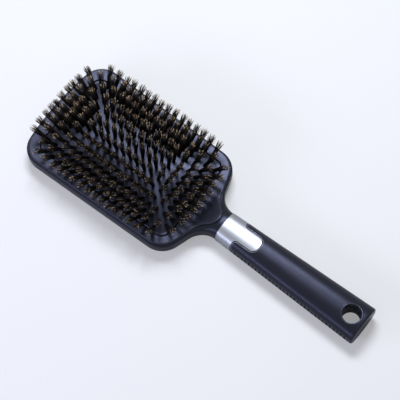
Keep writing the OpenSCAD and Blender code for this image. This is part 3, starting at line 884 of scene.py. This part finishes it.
def build_grip(materials):
    """The soft skin: hollow, with room for the tongues, the ribbed strips and the eyelet."""
    start = COLLAR_END + COLLAR_GAP
    obj = handle_body("grip_skin", 0.0, start, TOTAL_L, END_EDGE)
    source = copy_of(obj)
    cut(obj, handle_body("inner", GRIP_T, start - 2, TOTAL_L - GRIP_T))
    cut(obj, prism("plan", tongue_plan(COLLAR_GAP), BELOW, ABOVE))
    low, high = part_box("rib_strip_left")
    x0, x1 = low.x / MM - FAR - SEAM, high.x / MM - FAR + SEAM
    z0, z1 = low.z / MM - SEAM, high.z / MM + SEAM
    for inner, outer in ((6, BESIDE), (-6, -BESIDE)):
        cut(obj, prism("slot", [[x0, inner], [x1, inner], [x1, outer], [x0, outer]], z0, z1))
    ring = [[HOLE_X + (HOLE_R + EYELET_T) * math.cos(a), (HOLE_R + EYELET_T) * math.sin(a)]
            for a in np.arange(96) * 2 * math.pi / 96]
    cut(obj, prism("hole", ring, BELOW, ABOVE))
    smooth_like(obj, source)
    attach(obj, BASE)
    dress(obj, materials["grip"], "soft_grip", "grip_sleeve")


def surface_z(x, y, way):
    """Height of the handle's surface over or under a place in plan."""
    inside = np.clip(1 - (abs(y) / half_at(x)) ** SQUARENESS, 0, 1)
    return AXIS_Z + way * tall_at(x) * inside ** (1 / SQUARENESS)


def bead_runs():
    """Lines of the bead: round each tongue's two halves, front and back, and round each side."""
    plan = tongue_plan(COLLAR_GAP + BEAD_OFFSET)
    half = np.array([p for p in plan if p[0] > COLLAR_END and p[1] >= 0])
    runs = []
    for way in (1, -1):
        for side in (1, -1):
            line = spread(half, 70) * [1, side]
            runs.append([[x, y, float(surface_z(x, y, way))] for x, y in line])
    x = COLLAR_END + COLLAR_GAP + BEAD_OFFSET
    a0 = math.acos(min(1.0, (half[-1][1] / half_at(x)) ** (SQUARENESS / 2)))
    e = 2 / SQUARENESS
    for side in (1, -1):
        runs.append([[x, side * half_at(x) * math.cos(t) ** e,
                      AXIS_Z + tall_at(x) * math.copysign(abs(math.sin(t)) ** e, math.sin(t))]
                     for t in np.linspace(a0, -a0, 60)])
    return runs


def build_bead(materials):
    """Raised bead along the grip's edge round the tongues and the side lobes. Its grey, lighter
    than the grip, is a painted highlight.
    """
    points, faces = [], []
    for run in bead_runs():
        p = np.array(run)
        t = np.gradient(p, axis=0)
        t /= np.linalg.norm(t, axis=1)[:, None]
        out = p - np.stack([p[:, 0], np.zeros(len(p)), np.full(len(p), AXIS_Z)], 1)
        out -= t * np.sum(out * t, 1)[:, None]
        out /= np.linalg.norm(out, axis=1)[:, None]
        across = np.cross(t, out)
        start = len(points)
        for i in range(len(p)):
            for b in np.arange(BEAD_SIDES) * 2 * math.pi / BEAD_SIDES:
                points.append(p[i] + out[i] * (BEAD_RISE * math.sin(b) - BEAD_SINK)
                              + across[i] * BEAD_HALF_W * math.cos(b))
        faces += tube_faces(len(p), BEAD_SIDES, start) + tube_ends(len(p), BEAD_SIDES, start)
    obj = tidy_mesh(mesh_object("grip_bead_painted_highlight", points, faces), 60)
    dress(obj, materials["bead"], "soft_grip")


def build_eyelet(materials):
    """Lining of the hanging hole, flush with the grip and rounded into the hole."""
    outer = HOLE_R + EYELET_T - EYELET_GAP
    profile = [(outer, -0.9), (outer, -0.06), (outer - 0.06, 0.02)]
    profile += [(HOLE_R + EYELET_ROUND * (1 - math.sin(a)), 0.04 - EYELET_ROUND * (1 - math.cos(a)))
                for a in np.linspace(0, math.pi / 2, 7)]
    rings = []
    for way in (1, -1):
        for r, dz in (profile if way > 0 else profile[::-1]):
            ring = []
            for a in np.arange(ROUND_N) * 2 * math.pi / ROUND_N:
                x, y = HOLE_X + r * math.cos(a), r * math.sin(a)
                ring.append([x, y, float(surface_z(x, y, way)) + way * dz])
            rings.append(ring)
    rings.append(rings[0])
    faces = tube_faces(len(rings), ROUND_N)
    obj = tidy_mesh(mesh_object("hole_lining", rings, faces), 50)
    dress(obj, materials["eyelet"], "eyelet_lining", "hang_eyelet")


def build_ribs(materials):
    """Ribbed strips flush with the handle's sides, each rib rounded over."""
    for name, side in (("rib_strip_left", 1), ("rib_strip_right", -1)):
        low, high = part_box(name)
        x0, x1 = low.x / MM - FAR, high.x / MM - FAR
        half = (high.z - low.z) / MM / 2
        count = round((x1 - x0 + RIB_GAP) / RIB_PITCH)
        stations = []
        for i in range(count):
            start = x0 + i * RIB_PITCH
            end = start + RIB_PITCH - RIB_GAP
            q = 0.3 * RIB_ROUND
            stations += [(start, RIB_DEPTH), (start, RIB_ROUND), (start + q, q),
                         (start + RIB_ROUND, 0), (end - RIB_ROUND, 0),
                         (end - q, q), (end, RIB_ROUND), (end, RIB_DEPTH)]
        rows = []
        for x, d in stations:
            row = []
            for u in (-1, -1, -0.96, -0.8, -0.5, -0.2, 0.2, 0.5, 0.8, 0.96, 1, 1):
                z = u * half
                flat = half_at(x) * (1 - (abs(z) / tall_at(x)) ** SQUARENESS) ** (1 / SQUARENESS)
                edge = 0.25 if abs(u) == 1 else 0.05 if abs(u) > 0.9 else 0
                row.append([x, side * (flat - max(d, edge)), AXIS_Z + z])
            for k in (0, -1):
                row[k][1] = side * (half_at(x) - RIB_DEPTH - 0.6)
            rows.append(row)
        n = len(rows[0])
        last = (len(rows) - 1) * n
        faces = tube_faces(len(rows), n) + [tuple(range(n)), tuple(range(last, last + n))]
        obj = tidy_mesh(mesh_object(name + "_comb", rows, faces), 40)
        dress(obj, materials["ribs"], "soft_ribs", name)


def dress_cad(materials):
    """Hidden CAD pieces that stay as they are, with their own materials."""
    for name, material in (("handle_core", "core"), ("tang_pin", "pin")):
        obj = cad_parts[name]
        obj.data.materials.clear()
        obj.data.materials.append(materials[material])


# ---------------------------------------------------------------- stage

def build_floor():
    """Pale floor. Where the camera sees it, part of it is a plain glow."""
    corners = ((-1, -1), (1, -1), (1, 1), (-1, 1))
    floor = mesh_object("floor", [[x * FLOOR, y * FLOOR, FLOOR_Z] for x, y in corners],
                        [(0, 1, 2, 3)], None)
    mat, tree, shader = nodes_of("floor_pale")
    shader.inputs["Base Color"].default_value = (0.83, 0.83, 0.84, 1)
    shader.inputs["Roughness"].default_value = 0.75
    path = put(tree, "ShaderNodeLightPath")
    share = put(tree, "ShaderNodeMath", operation="MULTIPLY")
    share.inputs[1].default_value = FLOOR_GLOW
    glow = put(tree, "ShaderNodeEmission", Color=(0.86, 0.86, 0.87, 1))
    blend = put(tree, "ShaderNodeMixShader")
    tree.links.new(path.outputs["Is Camera Ray"], share.inputs[0])
    tree.links.new(share.outputs[0], blend.inputs["Fac"])
    tree.links.new(shader.outputs[0], blend.inputs[1])
    tree.links.new(glow.outputs[0], blend.inputs[2])
    tree.links.new(blend.outputs[0], tree.nodes["Material Output"].inputs["Surface"])
    floor.data.materials.append(mat)


def build_world():
    """Surroundings that light the brush dimly but look white, also in what mirrors them."""
    world = bpy.data.worlds.new("studio")
    bpy.context.scene.world = world
    world.use_nodes = True
    tree = world.node_tree
    tree.nodes.clear()
    path = put(tree, "ShaderNodeLightPath")
    seen = put(tree, "ShaderNodeMath", operation="MAXIMUM")
    tree.links.new(path.outputs["Is Camera Ray"], seen.inputs[0])
    tree.links.new(path.outputs["Is Transmission Ray"], seen.inputs[1])
    also = put(tree, "ShaderNodeMath", operation="MAXIMUM")
    tree.links.new(seen.outputs[0], also.inputs[0])
    tree.links.new(path.outputs["Is Glossy Ray"], also.inputs[1])
    light = put(tree, "ShaderNodeBackground", Color=(0.86, 0.88, 0.95, 1), Strength=0.13)
    shown = put(tree, "ShaderNodeBackground", Color=(1, 1, 1, 1), Strength=1.0)
    mix = put(tree, "ShaderNodeMixShader")
    out = put(tree, "ShaderNodeOutputWorld")
    tree.links.new(also.outputs[0], mix.inputs["Fac"])
    tree.links.new(light.outputs[0], mix.inputs[1])
    tree.links.new(shown.outputs[0], mix.inputs[2])
    tree.links.new(mix.outputs[0], out.inputs["Surface"])


def lamp(name, place, size, power, colour):
    """Rectangular lamp that faces the brush; metres and watts."""
    data = bpy.data.lights.new(name, "AREA")
    data.shape = "RECTANGLE"
    data.size, data.size_y = size
    data.energy = power
    data.color = colour
    obj = bpy.data.objects.new(name, data)
    bpy.context.scene.collection.objects.link(obj)
    obj.location = place
    obj.rotation_mode = "QUATERNION"
    obj.rotation_quaternion = (Vector(MIDDLE) - Vector(place)).to_track_quat("-Z", "Y")


def build_lights():
    """Key light past the head's far end, a faint fill, and a long low light along the side."""
    lamp("key", (-0.27, 0.38, 0.87), (0.44, 0.28), 9.5, (0.88, 0.92, 1.0))
    lamp("fill", (0.55, -0.25, 0.85), (0.5, 0.5), 0.6, (0.92, 0.95, 1.0))
    lamp("side", (-0.33, -0.78, 0.38), (0.9, 0.20), 5.0, (0.72, 0.74, 1.0))


def build_camera():
    """The photograph's camera, fitted to the outlines of head and handle."""
    data = bpy.data.cameras.new("camera")
    data.sensor_width = SENSOR_W
    data.lens = CAMERA_LENS
    data.clip_start, data.clip_end = 0.01, 20
    cam = bpy.data.objects.new("camera", data)
    bpy.context.scene.collection.objects.link(cam)
    forward = Vector(CAMERA_FORWARD).normalized()
    up = Vector(CAMERA_UP)
    right = forward.cross(up).normalized()
    up = right.cross(forward)
    place = Vector(placed([CAMERA_AT])[0])
    turned = Matrix((right, up, -forward)).transposed().to_4x4()
    cam.matrix_world = Matrix.Translation(place) @ turned
    bpy.context.scene.camera = cam


def main():
    build_camera()
    materials = make_materials()
    build_shell(materials)
    build_frame(materials)
    build_cushion(materials)
    for k in range(1, 7):
        for side in ("left", "right", "far", "near"):
            if k < 6 or side in ("left", "right"):
                build_tufts(k, side, materials["bristle"])
    build_collar(materials)
    build_grip(materials)
    build_bead(materials)
    build_eyelet(materials)
    build_ribs(materials)
    dress_cad(materials)
    build_floor()
    build_world()
    build_lights()
    bpy.context.scene.view_settings.view_transform = "Standard"


main()
